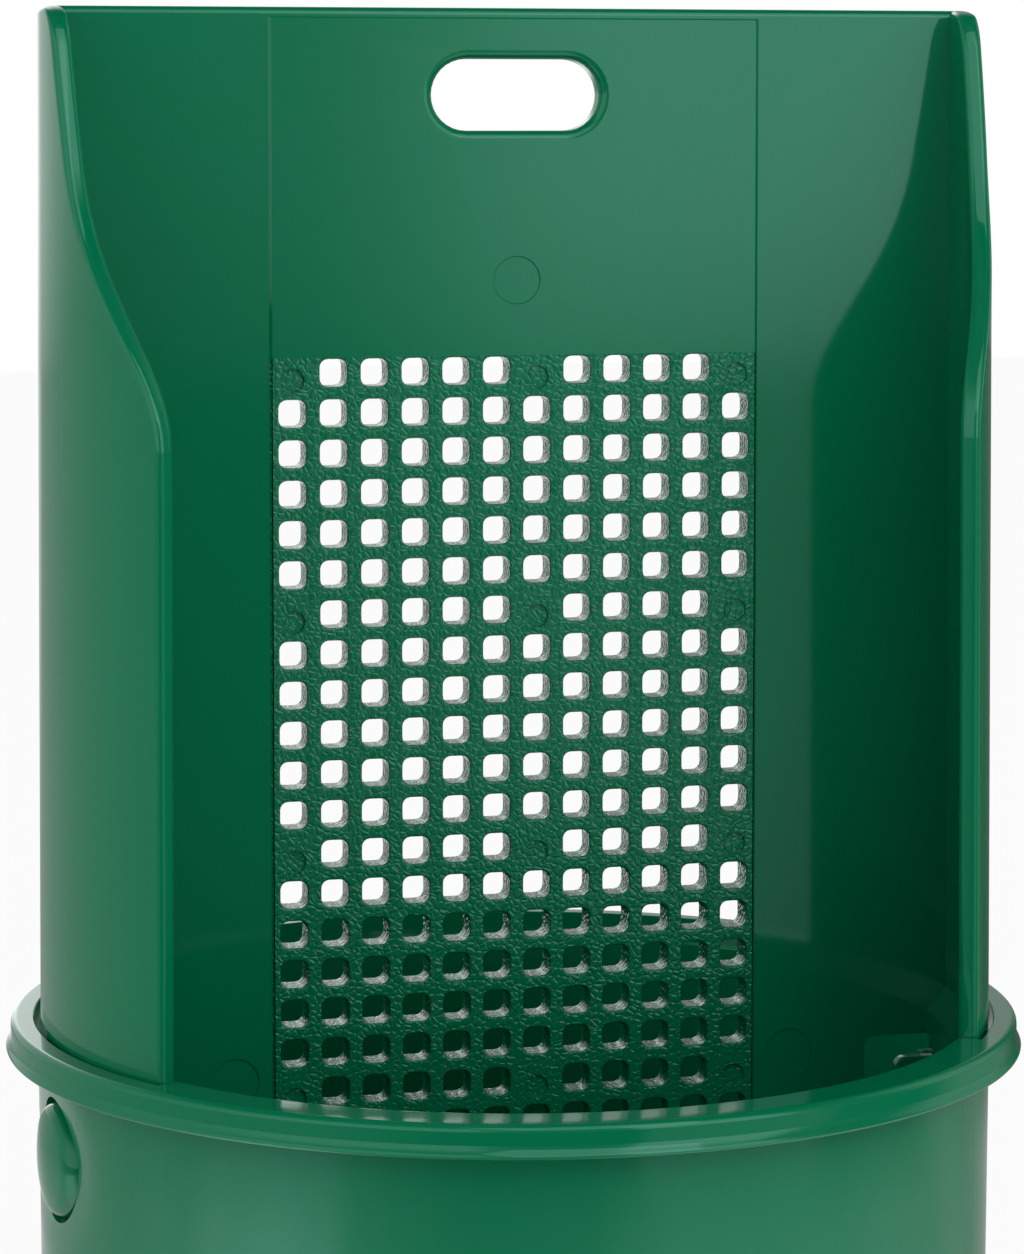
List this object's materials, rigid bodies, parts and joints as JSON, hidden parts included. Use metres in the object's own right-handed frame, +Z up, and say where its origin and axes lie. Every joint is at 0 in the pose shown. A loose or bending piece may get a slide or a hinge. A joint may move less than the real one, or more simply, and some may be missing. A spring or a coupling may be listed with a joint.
{
  "type": "hanging reptile feeding bowl",
  "caption": "Round feeding cup latched under a tall back shell with a perforated climbing panel, curved side wings and a hanging slot.",
  "frame": {"origin": "centre of the cup's underside, on the cup's axis", "axes": "+Z up along the cup's axis to the shell's top edge, -Y out of the open front, +X to the right as seen from the front"},
  "size_m": [0.101, 0.101, 0.1593],
  "materials": {
    "green_plastic": "polished injection-moulded green plastic",
    "grained_green_plastic": "green plastic with a fine leather-like mould grain"
  },
  "bodies": {
    "shell": {"back_shell": "green_plastic", "climbing_panel": "grained_green_plastic"},
    "cup": {"feeding_cup": "green_plastic"},
    "latch_left": {"left_latch": "green_plastic"},
    "latch_right": {"right_latch": "green_plastic"}
  },
  "joints": [
    {"name": "cup_slide", "type": "slide", "parent": "cup", "child": "shell", "axis": [0, 0, 1], "range_m": [0, 0.07], "deforming": ["left_latch", "right_latch"]},
    {"name": "latch_left_press", "type": "hinge", "parent": "shell", "child": "latch_left", "pos_m": [-0.04385, -0.00407, 0.034], "axis": [-0.0924, 0.9957, 0], "range_deg": [0, 10], "stiffness_Nm_per_rad": 0.5},
    {"name": "latch_right_press", "type": "hinge", "parent": "shell", "child": "latch_right", "pos_m": [0.04385, -0.00407, 0.034], "axis": [-0.0924, -0.9957, 0], "range_deg": [0, 10], "stiffness_Nm_per_rad": 0.5}
  ]
}
